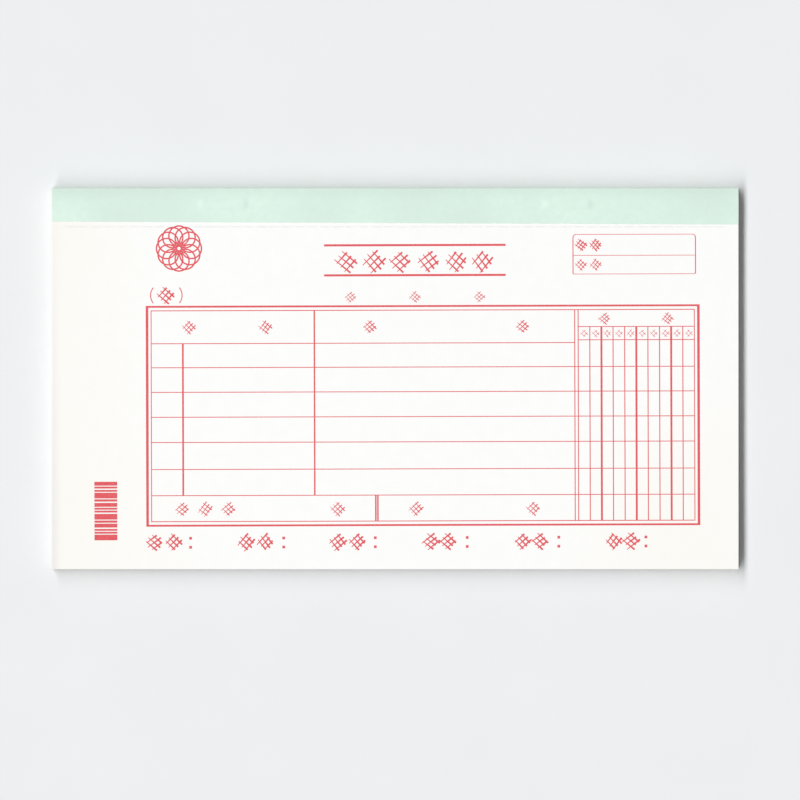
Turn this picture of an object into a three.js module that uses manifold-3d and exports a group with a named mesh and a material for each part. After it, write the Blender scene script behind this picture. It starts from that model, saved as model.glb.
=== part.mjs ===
// A cash voucher pad: paper leaves stacked on a greyboard back, stapled twice through the head and
// taped round it. The top leaf is split where the real one folds and tears, so that it turns and comes off.
// Millimetres. X runs across the pad, Y towards the bound head and Z up.
// The origin lies under the middle of the pad, on the face it rests on.
import * as THREE from 'three';
import { mergeVertices } from 'three/addons/utils/BufferGeometryUtils.js';
import Module from 'manifold-3d';

const wasm = await Module();
wasm.setup();

// Driving sizes of the block
const PAD_WIDTH = 228.6;
const PAD_DEPTH = 127;
const BOARD_THICKNESS = 1.0;
const LEAF_COUNT = 50;
const LEAF_THICKNESS = 0.08;
// How far a leaf may lie out of square with the trimmed block, and the turn of the formula that spreads it
const LEAF_JOG = 0.06;
const JOG_TURN = 2.4;

// Binding tape: the front flap is narrower at its left end because the strip went on slightly askew
const TAPE_THICKNESS = 0.15;
const FRONT_FLAP = 12.2;
const FLAP_SKEW = 1.0;
const BACK_FLAP = 11.5;
const FOLD_RADIUS = 0.25;
const FOLD_STEPS = 4;

// Wire staples of 24 gauge, one near each end of the head
const WIRE = 0.5;
const WIRE_SIDES = 8;
const CROWN_LENGTH = 12.7;
const CROWN_BITE = 0.3;
const BEND_RADIUS = 0.15;
const BEND_STEPS = 4;
const CLINCH_LENGTH = 4.3;
const STAPLE_FROM_HEAD = 5.5;
const STAPLE_FROM_SIDE = 57;
// Slant of the cut that gives each leg its chisel point, as length along the wire for each length across it
const POINT_SLANT = 1;
// Room round a wire in the paper, in the board and under the tape
const WIRE_ROOM = 0.1;
// Width of the slope where the tape comes down beside a crown
const TENT_SLOPE = 2.2;
const TENT_STEPS = 4;

// Perforation: long cuts with short ties between them, just below the tape's front edge
const STRIP_WIDTH = 0.8;
const TIE_PITCH = 4.23;
const TIE_WIDTH = 1.0;
const CUT_WIDTH = 0.12;
// Leaves, counted from the top, that have their perforation cut
const PERFORATED_LEAVES = 2;

// Play between the edge of the back flap and the step in the board that it lies in
const FLAP_PLAY = 0.1;

// How far a cutting block reaches past the faces that it cuts
const CUT_PAST = 1;

// Levels and lines that the pieces share
const headFace = PAD_DEPTH / 2;
const footFace = -PAD_DEPTH / 2;
const spineInside = headFace - TAPE_THICKNESS;
const paperHead = spineInside - FOLD_RADIUS;
const foldLine = headFace - FRONT_FLAP;
const cutLine = foldLine - STRIP_WIDTH;
const backFlapEdge = headFace - BACK_FLAP;
const stackTop = leafTop(1);
const stapleLine = headFace - STAPLE_FROM_HEAD;
const legReach = (CROWN_LENGTH - WIRE) / 2;
const bendLine = BEND_RADIUS + WIRE / 2;
const crownLevel = stackTop - CROWN_BITE + WIRE / 2;
const clinchLevel = TAPE_THICKNESS + WIRE_ROOM / 2 + WIRE / 2;
const wireHalfRoom = WIRE / 2 + WIRE_ROOM;
const stapleCentres = [STAPLE_FROM_SIDE - PAD_WIDTH / 2, PAD_WIDTH / 2 - STAPLE_FROM_SIDE];

const paper = { color: 0xfcfcfa, roughness: 0.9, metalness: 0 };
const tapePaper = { color: 0xdff2e6, roughness: 0.8, metalness: 0 };
const greyboard = { color: 0x98928a, roughness: 0.95, metalness: 0 };
const stapleWire = { color: 0xb8bbbf, roughness: 0.35, metalness: 0.9 };

// Height of the upper face of leaf 1, 2, 3 and so on, counted down from the top of the pad
function leafTop(number) {
  return BOARD_THICKNESS + (LEAF_COUNT + 1 - number) * LEAF_THICKNESS;
}

// Sideways shift of a leaf in the block
function leafShift(number) {
  return LEAF_JOG * Math.sin(number * JOG_TURN);
}

// Foot edge of a leaf, which stands back from the board's by up to twice the jog
function leafFoot(number) {
  return footFace + LEAF_JOG * (1 + Math.cos(number * JOG_TURN));
}

function leafSides(number) {
  const half = PAD_WIDTH / 2 - LEAF_JOG;
  return [leafShift(number) - half, leafShift(number) + half];
}

// Block between two opposite corners. Its faces lie at exactly the given places, so that sheets stacked on
// each other touch without overlapping.
function block(low, high) {
  const geometry = new THREE.BoxGeometry(1, 1, 1);
  const position = geometry.getAttribute('position');
  for (let index = 0; index < position.count; index += 1) {
    position.setXYZ(
      index,
      position.getX(index) < 0 ? low[0] : high[0],
      position.getY(index) < 0 ? low[1] : high[1],
      position.getZ(index) < 0 ? low[2] : high[2],
    );
  }
  return geometry;
}

// Closed solid for cutting, made from a closed geometry
function solidOf(geometry) {
  const bare = geometry.clone();
  bare.deleteAttribute('normal');
  bare.deleteAttribute('uv');
  const merged = mergeVertices(bare);
  const vertProperties = new Float32Array(merged.getAttribute('position').array);
  const triVerts = new Uint32Array(merged.getIndex().array);
  return new wasm.Manifold(new wasm.Mesh({ numProp: 3, vertProperties, triVerts }));
}

function geometryOf(solid) {
  const mesh = solid.getMesh();
  const geometry = new THREE.BufferGeometry();
  geometry.setAttribute('position', new THREE.BufferAttribute(mesh.vertProperties, 3));
  geometry.setIndex(new THREE.BufferAttribute(mesh.triVerts, 1));
  return geometry;
}

// Flat sheet between two heights, given as left, front, right and back, with rectangles cut through it
function sheet([left, front, right, back], cuts, low, high) {
  let solid = solidOf(block([left, front, low], [right, back, high]));
  for (const [cutLeft, cutFront, cutRight, cutBack] of cuts) {
    const cutter = block([cutLeft, cutFront, low - CUT_PAST], [cutRight, cutBack, high + CUT_PAST]);
    solid = solid.subtract(solidOf(cutter));
  }
  return solid;
}

// Hole that each staple leg punches through a sheet
function legHoles() {
  return stapleCentres.flatMap((centre) => [-1, 1].map((side) => {
    const leg = centre + side * legReach;
    return [leg - wireHalfRoom, stapleLine - wireHalfRoom, leg + wireHalfRoom, stapleLine + wireHalfRoom];
  }));
}

// Slot in the topmost leaves, where a crown and its two bends are pressed into the paper
function crownSlots() {
  const reach = legReach + wireHalfRoom;
  return stapleCentres.map((centre) => [centre - reach, stapleLine - wireHalfRoom,
    centre + reach, stapleLine + wireHalfRoom]);
}

// Leaves above the foot of the crown's bend are slotted, and those below have a hole for each leg
function wireHoles(number) {
  const bendFoot = crownLevel - bendLine;
  return leafTop(number) > bendFoot ? crownSlots() : legHoles();
}

// Cuts of the perforation, from one side of the sheet to the other, between two lines along Y
function perforation(front, back) {
  const tieCount = Math.floor((PAD_WIDTH - TIE_PITCH) / TIE_PITCH);
  const cuts = [];
  for (let index = 0; index < tieCount - 1; index += 1) {
    const tie = (index - (tieCount - 1) / 2) * TIE_PITCH;
    cuts.push([tie + TIE_WIDTH / 2, front, tie + TIE_PITCH - TIE_WIDTH / 2, back]);
  }
  return cuts;
}

// Bound stub of the top leaf, held under the tape
function stub() {
  const [left, right] = leafSides(1);
  return sheet([left, foldLine, right, paperHead], wireHoles(1), leafTop(2), leafTop(1));
}

// Narrow strip between the fold at the tape's edge and the perforation. It stays when the leaf is torn off,
// and its lower edge is a comb of half ties and half cuts
function tearStrip() {
  const [left, right] = leafSides(1);
  const notches = perforation(cutLine - CUT_PAST, cutLine + CUT_WIDTH / 2);
  return sheet([left, cutLine, right, foldLine], notches, leafTop(2), leafTop(1));
}

// The voucher itself: the top leaf below the perforation, with the other half of the comb
function voucher() {
  const [left, right] = leafSides(1);
  const notches = perforation(cutLine - CUT_WIDTH / 2, cutLine + CUT_PAST);
  return sheet([left, leafFoot(1), right, cutLine], notches, leafTop(2), leafTop(1));
}

// A whole leaf of the block. The one bared when the top leaf is turned has its perforation cut too
function leaf(number) {
  const [left, right] = leafSides(number);
  const cuts = wireHoles(number);
  if (number <= PERFORATED_LEAVES) {
    cuts.push(...perforation(cutLine - CUT_WIDTH / 2, cutLine + CUT_WIDTH / 2));
  }
  return sheet([left, leafFoot(number), right, paperHead], cuts, leafTop(number + 1), leafTop(number));
}

// Greyboard back, pressed thinner at the head so that the back flap lies flush, with the staple legs sunk in
function backingBoard() {
  const outline = [-PAD_WIDTH / 2, footFace, PAD_WIDTH / 2, paperHead];
  let solid = sheet(outline, legHoles(), 0, BOARD_THICKNESS);
  const rebate = block(
    [-PAD_WIDTH / 2 - CUT_PAST, backFlapEdge - FLAP_PLAY, -CUT_PAST],
    [PAD_WIDTH / 2 + CUT_PAST, headFace + CUT_PAST, TAPE_THICKNESS],
  );
  solid = solid.subtract(solidOf(rebate));
  for (const centre of stapleCentres) {
    for (const side of [-1, 1]) {
      const bendEnd = centre + side * (legReach + wireHalfRoom);
      const cutEnd = centre + side * (legReach - CLINCH_LENGTH - WIRE_ROOM);
      const dent = block(
        [Math.min(bendEnd, cutEnd), stapleLine - wireHalfRoom, 0],
        [Math.max(bendEnd, cutEnd), stapleLine + wireHalfRoom, clinchLevel + wireHalfRoom],
      );
      solid = solid.subtract(solidOf(dent));
    }
  }
  return solid;
}

// Centre line of half a staple, in X and Z: the clinched end, the bend, the leg, the bend and the crown
function halfStaple() {
  const points = [new THREE.Vector2(-legReach + CLINCH_LENGTH, clinchLevel)];
  const centreX = -legReach + bendLine;
  for (let step = 0; step <= BEND_STEPS; step += 1) {
    const angle = -Math.PI / 2 - (step / BEND_STEPS) * (Math.PI / 2);
    points.push(new THREE.Vector2(centreX + bendLine * Math.cos(angle),
      clinchLevel + bendLine + bendLine * Math.sin(angle)));
  }
  for (let step = 0; step <= BEND_STEPS; step += 1) {
    const angle = Math.PI - (step / BEND_STEPS) * (Math.PI / 2);
    points.push(new THREE.Vector2(centreX + bendLine * Math.cos(angle),
      crownLevel - bendLine + bendLine * Math.sin(angle)));
  }
  return points;
}

// Round wire swept along a line in the X and Z plane, closed by a slanting flat cap at each end
function bentWire(line, centreX, centreY) {
  const positions = [];
  const indices = [];
  line.forEach((point, place) => {
    const before = line[Math.max(place - 1, 0)];
    const after = line[Math.min(place + 1, line.length - 1)];
    const along = new THREE.Vector2().subVectors(after, before).normalize();
    const intoWire = (point === before ? 1 : 0) - (point === after ? 1 : 0);
    for (let side = 0; side < WIRE_SIDES; side += 1) {
      const turn = ((side + 0.5) / WIRE_SIDES) * 2 * Math.PI;
      const outwards = (WIRE / 2) * Math.cos(turn);
      const back = intoWire * POINT_SLANT * (WIRE / 2 - outwards);
      positions.push(centreX + point.x - along.y * outwards + along.x * back,
        centreY + (WIRE / 2) * Math.sin(turn), point.y + along.x * outwards + along.y * back);
    }
  });
  for (let place = 0; place < line.length - 1; place += 1) {
    for (let side = 0; side < WIRE_SIDES; side += 1) {
      const next = (side + 1) % WIRE_SIDES;
      const low = place * WIRE_SIDES;
      const high = low + WIRE_SIDES;
      indices.push(low + side, high + side, high + next, low + side, high + next, low + next);
    }
  }
  const last = (line.length - 1) * WIRE_SIDES;
  for (let side = 1; side < WIRE_SIDES - 1; side += 1) {
    indices.push(0, side, side + 1, last, last + side + 1, last + side);
  }
  const geometry = new THREE.BufferGeometry();
  geometry.setAttribute('position', new THREE.Float32BufferAttribute(positions, 3));
  geometry.setIndex(indices);
  return geometry;
}

function staple(centre) {
  const left = halfStaple();
  const right = left.map((point) => new THREE.Vector2(-point.x, point.y)).reverse();
  return bentWire([...left, ...right], centre, stapleLine);
}

// Rise of the tape where it is tented over a crown, as a share from 0 beside it to 1 on top of it
function tentShare(distance, halfFlat) {
  const slope = THREE.MathUtils.clamp((distance - halfFlat) / TENT_SLOPE, 0, 1);
  return (1 + Math.cos(Math.PI * slope)) / 2;
}

function tapeRise(x, y) {
  const height = crownLevel + WIRE / 2 + WIRE_ROOM - stackTop;
  const across = tentShare(Math.abs(y - stapleLine), wireHalfRoom);
  const along = stapleCentres.map((centre) => tentShare(Math.abs(x - centre), CROWN_LENGTH / 2 + WIRE_ROOM));
  return height * across * Math.max(...along);
}

// Lines of the tape's grid that follow one tent: the flat top's two edges and the steps of both slopes
function tentLines(centre, halfFlat) {
  const lines = [];
  for (let step = 0; step <= TENT_STEPS; step += 1) {
    const reach = halfFlat + (step / TENT_STEPS) * TENT_SLOPE;
    lines.push(centre - reach, centre + reach);
  }
  return lines.sort((a, b) => a - b);
}

// Path of the tape's inside from the front flap's edge round the head to the back flap's edge, in Y and Z,
// each point with the direction in which the tape's thickness is added
function tapePath(frontEdge) {
  const path = [{ y: frontEdge, z: stackTop, outY: 0, outZ: 1, front: true }];
  for (const line of tentLines(stapleLine, wireHalfRoom)) {
    path.push({ y: line, z: stackTop, outY: 0, outZ: 1, front: true });
  }
  const folds = [[stackTop - FOLD_RADIUS, Math.PI / 2], [TAPE_THICKNESS + FOLD_RADIUS, 0]];
  for (const [centreZ, startAngle] of folds) {
    for (let step = 0; step <= FOLD_STEPS; step += 1) {
      const angle = startAngle - (step / FOLD_STEPS) * (Math.PI / 2);
      const outY = Math.cos(angle);
      const outZ = Math.sin(angle);
      path.push({ y: paperHead + FOLD_RADIUS * outY, z: centreZ + FOLD_RADIUS * outZ, outY, outZ });
    }
  }
  path.push({ y: backFlapEdge, z: TAPE_THICKNESS, outY: 0, outZ: -1 });
  return path;
}

// Paper tape wrapped round the head of the pad: one sheet of even thickness, inside and outside joined at
// its rims, raised over both staple crowns
function bindingTape() {
  const ends = [-PAD_WIDTH / 2, PAD_WIDTH / 2];
  const columns = [...ends, ...stapleCentres.flatMap((centre) => tentLines(centre, CROWN_LENGTH / 2 + WIRE_ROOM))];
  columns.sort((a, b) => a - b);
  const inside = [];
  const outside = [];
  for (const x of columns) {
    const leftShare = (ends[1] - x) / PAD_WIDTH;
    const path = tapePath(foldLine + FLAP_SKEW * leftShare);
    for (const point of path) {
      const rise = point.front ? tapeRise(x, point.y) : 0;
      inside.push([x, point.y, point.z + rise]);
      outside.push([x, point.y + TAPE_THICKNESS * point.outY, point.z + TAPE_THICKNESS * point.outZ + rise]);
    }
  }
  return closedSheet(inside, outside, columns.length);
}

// Closed body between two grids of points with the same number of columns
function closedSheet(inside, outside, columnCount) {
  const rowCount = inside.length / columnCount;
  const insideAt = (column, row) => column * rowCount + row;
  const outsideAt = (column, row) => inside.length + insideAt(column, row);
  const indices = [];
  const quad = (a, b, c, d) => indices.push(a, b, c, a, c, d);
  for (let column = 0; column < columnCount - 1; column += 1) {
    for (let row = 0; row < rowCount - 1; row += 1) {
      quad(outsideAt(column, row), outsideAt(column + 1, row),
        outsideAt(column + 1, row + 1), outsideAt(column, row + 1));
      quad(insideAt(column, row), insideAt(column, row + 1),
        insideAt(column + 1, row + 1), insideAt(column + 1, row));
    }
  }
  const lastColumn = columnCount - 1;
  const lastRow = rowCount - 1;
  for (let row = 0; row < lastRow; row += 1) {
    quad(insideAt(0, row), outsideAt(0, row), outsideAt(0, row + 1), insideAt(0, row + 1));
    quad(insideAt(lastColumn, row), insideAt(lastColumn, row + 1),
      outsideAt(lastColumn, row + 1), outsideAt(lastColumn, row));
  }
  for (let column = 0; column < lastColumn; column += 1) {
    quad(insideAt(column, 0), insideAt(column + 1, 0), outsideAt(column + 1, 0), outsideAt(column, 0));
    quad(insideAt(column, lastRow), outsideAt(column, lastRow),
      outsideAt(column + 1, lastRow), insideAt(column + 1, lastRow));
  }
  const geometry = new THREE.BufferGeometry();
  geometry.setAttribute('position', new THREE.Float32BufferAttribute([...inside, ...outside].flat(), 3));
  geometry.setIndex(indices);
  return geometry;
}

function piece(name, geometry, finish) {
  const mesh = new THREE.Mesh(geometry, new THREE.MeshStandardMaterial(finish));
  mesh.name = name;
  return mesh;
}

const pad = new THREE.Group();
pad.add(piece('backing_board', geometryOf(backingBoard()), greyboard));
for (let number = LEAF_COUNT; number > 1; number -= 1) {
  pad.add(piece(`leaf_${String(number).padStart(2, '0')}`, geometryOf(leaf(number)), paper));
}
pad.add(piece('stub_01', geometryOf(stub()), paper));
pad.add(piece('tear_strip_01', geometryOf(tearStrip()), paper));
pad.add(piece('voucher_01', geometryOf(voucher()), paper));
pad.add(piece('staple_left', staple(stapleCentres[0]), stapleWire));
pad.add(piece('staple_right', staple(stapleCentres[1]), stapleWire));
pad.add(piece('binding_tape', bindingTape(), tapePaper));

export default pad;
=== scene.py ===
# %% [markdown]
# # A cash voucher pad
#
# A pad of printed paper vouchers is a block of thin leaves on a greyboard back, held at the head by two
# wire staples and a strip of pale green paper tape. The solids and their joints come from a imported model,
# and this lesson gives them their looks: finer paper where it shows, the printed form, the materials and a
# plain studio. Everything is in metres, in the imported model's own frame.

# %% Load the fixed frame
from itertools import cycle

import bpy
import numpy as np
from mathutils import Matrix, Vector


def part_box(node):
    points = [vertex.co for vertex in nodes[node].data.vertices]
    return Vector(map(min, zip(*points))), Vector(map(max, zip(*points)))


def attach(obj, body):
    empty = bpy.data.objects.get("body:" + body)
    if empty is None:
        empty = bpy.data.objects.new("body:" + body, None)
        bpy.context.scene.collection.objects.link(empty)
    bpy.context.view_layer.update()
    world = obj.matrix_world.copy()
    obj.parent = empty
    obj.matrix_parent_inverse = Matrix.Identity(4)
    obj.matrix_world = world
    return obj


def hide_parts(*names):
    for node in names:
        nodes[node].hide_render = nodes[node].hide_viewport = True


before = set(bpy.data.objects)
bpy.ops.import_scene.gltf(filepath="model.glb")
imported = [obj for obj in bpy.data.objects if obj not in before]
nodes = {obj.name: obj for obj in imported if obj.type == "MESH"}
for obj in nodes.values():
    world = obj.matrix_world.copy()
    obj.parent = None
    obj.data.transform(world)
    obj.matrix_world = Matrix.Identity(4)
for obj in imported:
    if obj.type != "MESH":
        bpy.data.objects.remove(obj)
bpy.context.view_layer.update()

MM = 0.001

# %% [markdown]
# ## Places taken from the frame
#
# Lines that several pieces share, such as the fold at the tape's edge or the foot of the leaves, could be
# typed in as numbers, but those would go wrong as soon as a solid changes. Here they are read from the
# solids' boxes, and the shapes below are built from them.

# %% Shared lines and levels
VOUCHER_LOW, VOUCHER_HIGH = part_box("voucher_01")
BOARD_LOW, BOARD_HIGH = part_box("backing_board")
STACK_TOP = VOUCHER_HIGH.z
LEAF_THICKNESS = VOUCHER_HIGH.z - VOUCHER_LOW.z
CUT_LINE = VOUCHER_HIGH.y
FOOT = VOUCHER_LOW.y
FOLD_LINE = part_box("tear_strip_01")[1].y
PAPER_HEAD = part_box("stub_01")[1].y
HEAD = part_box("binding_tape")[1].y
PAD_LEFT, PAD_RIGHT = BOARD_LOW.x, BOARD_HIGH.x
PAD_FOOT = BOARD_LOW.y
print("stack top", round(STACK_TOP / MM, 3), "fold line", round(FOLD_LINE / MM, 3),
      "cut line", round(CUT_LINE / MM, 3))

# %% [markdown]
# ## From arrays to a mesh
#
# Every new piece is worked out as whole numpy arrays: points, and sets of faces that name their corners by
# number. Vertices could be added one by one with bmesh, but `foreach_set` copies an array into a mesh in
# one go. That is far quicker, and it keeps a shape's formula apart from Blender's bookkeeping.

# %% Mesh from points and faces
SHARP_ANGLE = 35


def put(name, data):
    """Object of this name that shows the data, put into the scene."""
    made = bpy.data.objects.new(name, data)
    bpy.context.scene.collection.objects.link(made)
    return made


def mesh_piece(name, points, face_sets, material):
    """Mesh object. Each face set is an array with a row of corner numbers for each face. Points of no face
    are left out, and edges that bend by more than the sharp angle are shaded as edges."""
    corners = np.concatenate([faces.ravel() for faces in face_sets])
    sizes = np.concatenate([np.full(len(faces), faces.shape[1]) for faces in face_sets])
    used, corners = np.unique(corners, return_inverse=True)
    starts = np.concatenate([[0], np.cumsum(sizes)[:-1]])
    mesh = bpy.data.meshes.new(name)
    mesh.vertices.add(len(used))
    mesh.vertices.foreach_set("co", points[used].astype(np.float32).ravel())
    mesh.loops.add(len(corners))
    mesh.loops.foreach_set("vertex_index", corners.ravel().astype(np.int32))
    mesh.polygons.add(len(sizes))
    mesh.polygons.foreach_set("loop_start", starts.astype(np.int32))
    mesh.update(calc_edges=True)
    mesh.validate()
    mesh.shade_smooth()
    mesh.set_sharp_from_angle(angle=np.radians(SHARP_ANGLE))
    mesh.materials.append(material)
    print(name, "faces:", len(sizes))
    return put(name, mesh)


# %% [markdown]
# ## Sheets as two grids
#
# A sheet could be a flat face with a Solidify modifier, but cuts through it would need booleans. Two grids
# of points, one for each side, do both jobs: where the sheet has a hole, its cells are simply not kept, and
# one rule walls in every rim. The perforated leaves and the folded tape are made so.

# %% Closed sheet from two grids


def sheet_faces(kept):
    """Faces of a closed sheet over a grid of cells: for each kept cell one on the upper grid and one on
    the lower, and a rim between the grids at each of its sides that borders no kept cell."""
    rows, columns = kept.shape
    number = np.arange((rows + 1) * (columns + 1)).reshape(rows + 1, columns + 1)
    below = number.size
    a, b = number[:-1, :-1], number[:-1, 1:]
    d, c = number[1:, :-1], number[1:, 1:]
    sets = [np.stack([a, b, c, d], -1)[kept], np.stack([a, d, c, b], -1)[kept] + below]
    padded = np.pad(kept, 1)
    for start, end, down, across in ((a, b, -1, 0), (b, c, 0, 1), (c, d, 1, 0), (d, a, 0, -1)):
        neighbour = padded[1 + down:1 + down + rows, 1 + across:1 + across + columns]
        rim = kept & ~neighbour
        sets.append(np.stack([start + below, end + below, end, start], -1)[rim])
    return sets


def closed_sheet(name, upper, lower, kept, material):
    """Closed sheet between an upper and a lower grid of points, each of shape rows by columns by 3."""
    points = np.concatenate([upper.reshape(-1, 3), lower.reshape(-1, 3)])
    return mesh_piece(name, points, sheet_faces(kept), material)


print("faces of a sheet of one cell:", sum(map(len, sheet_faces(np.ones((1, 1), bool)))))

# %% [markdown]
# ## Colours and nodes
#
# Colours are written as sRGB hex values, as a picture editor shows them. The renderer works with linear
# light, so one function turns them. Another adds a shader node with its settings and links, and gives back
# an output of it to link on. All materials are built with it.

# %% Colour and node helpers


def linear(hex_colour):
    """Linear RGBA of an sRGB hex colour: up to 0.04045 a channel is divided by 12.92, and above it is
    raised by 0.055, divided by 1.055 and taken to the power 2.4."""
    channels = np.array([int(hex_colour[place:place + 2], 16) for place in (1, 3, 5)]) / 255
    curved = ((channels + 0.055) / 1.055) ** 2.4
    return (*np.where(channels <= 0.04045, channels / 12.92, curved), 1.0)


def feed(tree, node, inputs):
    """Gives each input of a node, by name or number, a constant or a link from an output socket."""
    for name, value in inputs.items():
        if isinstance(value, bpy.types.NodeSocket):
            tree.links.new(value, node.inputs[name])
        else:
            node.inputs[name].default_value = value


def add(tree, kind, inputs, stops=(), output=None, **settings):
    """Adds one shader node and returns its named output, or else its first one in use. Settings are the
    node's own properties. Stops are a colour ramp's places and colours, in order."""
    made = tree.nodes.new("ShaderNode" + kind)
    for name, value in settings.items():
        setattr(made, name, value)
    feed(tree, made, inputs)
    for index, (position, colour) in enumerate(stops):
        elements = made.color_ramp.elements
        element = elements[index] if index < len(elements) else elements.new(position)
        element.position = position
        element.color = linear(colour)
    return made.outputs[output] if output else next(socket for socket in made.outputs if socket.enabled)


def new_material(name):
    """Node material, its tree, its Principled shader, and the place on the object, for its patterns."""
    material = bpy.data.materials.new(name)
    material.use_nodes = True
    tree = material.node_tree
    return material, tree, tree.nodes["Principled BSDF"], add(tree, "TexCoord", {}, output="Object")


print("middle grey in linear light:", round(linear("#808080")[0], 4))

# %% [markdown]
# ## The paper's face
#
# The vouchers are uncoated bond of about 60 g, off-white and matt. It shows a cloudy formation a few
# millimetres across, where the fibres lie thicker or thinner, and a faint tooth of single fibres that takes
# the gloss away. A scan of real paper would show both at one size only, so two noise patterns stand for
# them, each scaled from its real size. On top come two layers of painted shade: a warm one over the left
# side and the lower corners, and a grey band along the left edge that grows stronger towards the foot.

# %% Layers of colour on the face
FORMATION = 3.5 * MM
# Warm painted shade: its reach from the left side and from the lower corners, its shares, and its patches
SHADE_LEFT_REACH, SHADE_CORNER_REACH, FULL_CORNER = 40 * MM, 75 * MM, 18.75 * MM
SHARE_LEFT, SHARES_CORNER = 0.7, ((PAD_LEFT, 0.3), (PAD_RIGHT, 0.55))
UNEVEN = 70 * MM
# Width of the band of painted shade along the left edge
LEFT_SHADE_BAND = 3.5 * MM


def formation(tree, place):
    """Colour of the sheet held flat: noise as broad as the clouds of fibres, between two whites."""
    clouds = add(tree, "TexNoise", {
        "Vector": place, "Scale": 1 / FORMATION, "Detail": 3.0, "Roughness": 0.6})
    return add(tree, "ValToRGB", {"Fac": clouds}, stops=((0.3, "#FBFBF9"), (0.7, "#FDFDFC")))


def painted_warm_shade(tree, place, colour):
    """Colour with a warm painted shade over it: the sum of a smooth fall from the left side and of one with
    the distance from each corner at the foot, times a broad noise that makes it uneven."""
    across = add(tree, "SeparateXYZ", {"Vector": place}, output="X")
    shade_share = add(tree, "MapRange", {
        "Value": across, "From Min": PAD_LEFT, "From Max": PAD_LEFT + SHADE_LEFT_REACH,
        "To Min": SHARE_LEFT, "To Max": 0.0}, interpolation_type="SMOOTHSTEP")
    for side, share in SHARES_CORNER:
        reach = add(tree, "VectorMath", {0: place, 1: (side, PAD_FOOT, STACK_TOP)}, operation="DISTANCE")
        corner = add(tree, "MapRange", {
            "Value": reach, "From Min": FULL_CORNER, "From Max": SHADE_CORNER_REACH,
            "To Min": share, "To Max": 0.0}, interpolation_type="SMOOTHSTEP")
        shade_share = add(tree, "Math", {0: shade_share, 1: corner})
    broad = add(tree, "TexNoise", {"Vector": place, "Scale": 1 / UNEVEN, "Detail": 1.0})
    patches = add(tree, "MapRange", {"Value": broad, "From Min": 0.3, "From Max": 0.7, "To Min": 0.6})
    painted_shade = add(tree, "Math", {0: shade_share, 1: patches}, operation="MULTIPLY")
    # The warm colour mixed in here is painted shade.
    return add(tree, "Mix", {"Factor": painted_shade, "A": colour, "B": linear("#FAF7EF")}, data_type="RGBA")


def left_edge_shade(tree, place, colour):
    """Colour with a grey painted shade over it, in a narrow band at the left that grows stronger from the
    head to the foot."""
    across = add(tree, "SeparateXYZ", {"Vector": place}, output="X")
    band = add(tree, "MapRange", {
        "Value": across, "From Min": PAD_LEFT, "From Max": PAD_LEFT + LEFT_SHADE_BAND,
        "To Min": 1.0, "To Max": 0.0}, interpolation_type="SMOOTHSTEP")
    down = add(tree, "SeparateXYZ", {"Vector": place}, output="Y")
    stronger = add(tree, "MapRange", {
        "Value": down, "From Min": PAD_FOOT, "From Max": HEAD, "To Min": 0.55, "To Max": 0.1})
    edge_shade_share = add(tree, "Math", {0: band, 1: stronger}, operation="MULTIPLY")
    # The grey mixed in here is painted shade along the left edge.
    return add(tree, "Mix", {"Factor": edge_shade_share, "A": colour, "B": linear("#E4E2E4")}, data_type="RGBA")


print("layers on the face:", [layer.__name__ for layer in (formation, painted_warm_shade, left_edge_shade)])

# %% [markdown]
# ## The paper's trimmed sides
#
# The sides of the block show the edges of the leaves: fine lines, the darker of them painted shade of the
# gaps where two leaves stand apart. They could have a material of their own, but a leaf is one solid, so
# one material serves for both and tells them apart by which way the surface faces. Real leaves are 0.08 mm
# thick, finer than the picture's grid, so the lines are drawn three times as coarse.

# %% Voucher paper
FIBRE = 0.35 * MM
EDGE_LINE, EDGE_LINE_LENGTH = 0.25 * MM, 60 * MM
STEEP = 0.5


def trimmed_sides(tree, place, face):
    """The face's colour where the surface looks up or down, and noise drawn out into level lines where
    it is steep, which is where its normal has little of Z. The darker lines are painted shade between
    leaves."""
    normal = add(tree, "TexCoord", {}, output="Normal")
    upright = add(tree, "SeparateXYZ", {"Vector": normal}, output="Z")
    level = add(tree, "Math", {0: upright}, operation="ABSOLUTE")
    sideways = add(tree, "Math", {0: level, 1: STEEP}, operation="LESS_THAN")
    drawn = add(tree, "Mapping", {
        "Vector": place, "Scale": (1 / EDGE_LINE_LENGTH, 1 / EDGE_LINE_LENGTH, 1 / EDGE_LINE)})
    noise = add(tree, "TexNoise", {"Vector": drawn, "Scale": 1.0, "Detail": 4.0, "Roughness": 0.75})
    # Painted shade: the darker stop stands for the gaps between leaves.
    lines = add(tree, "ValToRGB", {"Fac": noise}, stops=((0.36, "#D8D5CE"), (0.56, "#FAF9F5")))
    return add(tree, "Mix", {"Factor": sideways, "A": face, "B": lines}, data_type="RGBA")


def voucher_paper():
    """Uncoated bond paper. Cellulose has an IOR near 1.53, and its surface scatters almost all light,
    a little less of it on top of a fibre than between fibres."""
    material, tree, shader, place = new_material("uncoated_bond_paper")
    face = left_edge_shade(tree, place, painted_warm_shade(tree, place, formation(tree, place)))
    fibres = add(tree, "TexNoise", {"Vector": place, "Scale": 1 / FIBRE, "Detail": 2.0, "Roughness": 0.7})
    feed(tree, shader, {
        "Base Color": trimmed_sides(tree, place, face),
        "Normal": add(tree, "Bump", {"Height": fibres, "Distance": 0.012 * MM, "Strength": 0.6}),
        "Roughness": add(tree, "MapRange", {"Value": fibres, "To Min": 0.96, "To Max": 0.8}),
        "IOR": 1.53,
        "Specular IOR Level": 0.25})
    return material


PAPER = voucher_paper()
print("paper nodes:", len(PAPER.node_tree.nodes))

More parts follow.
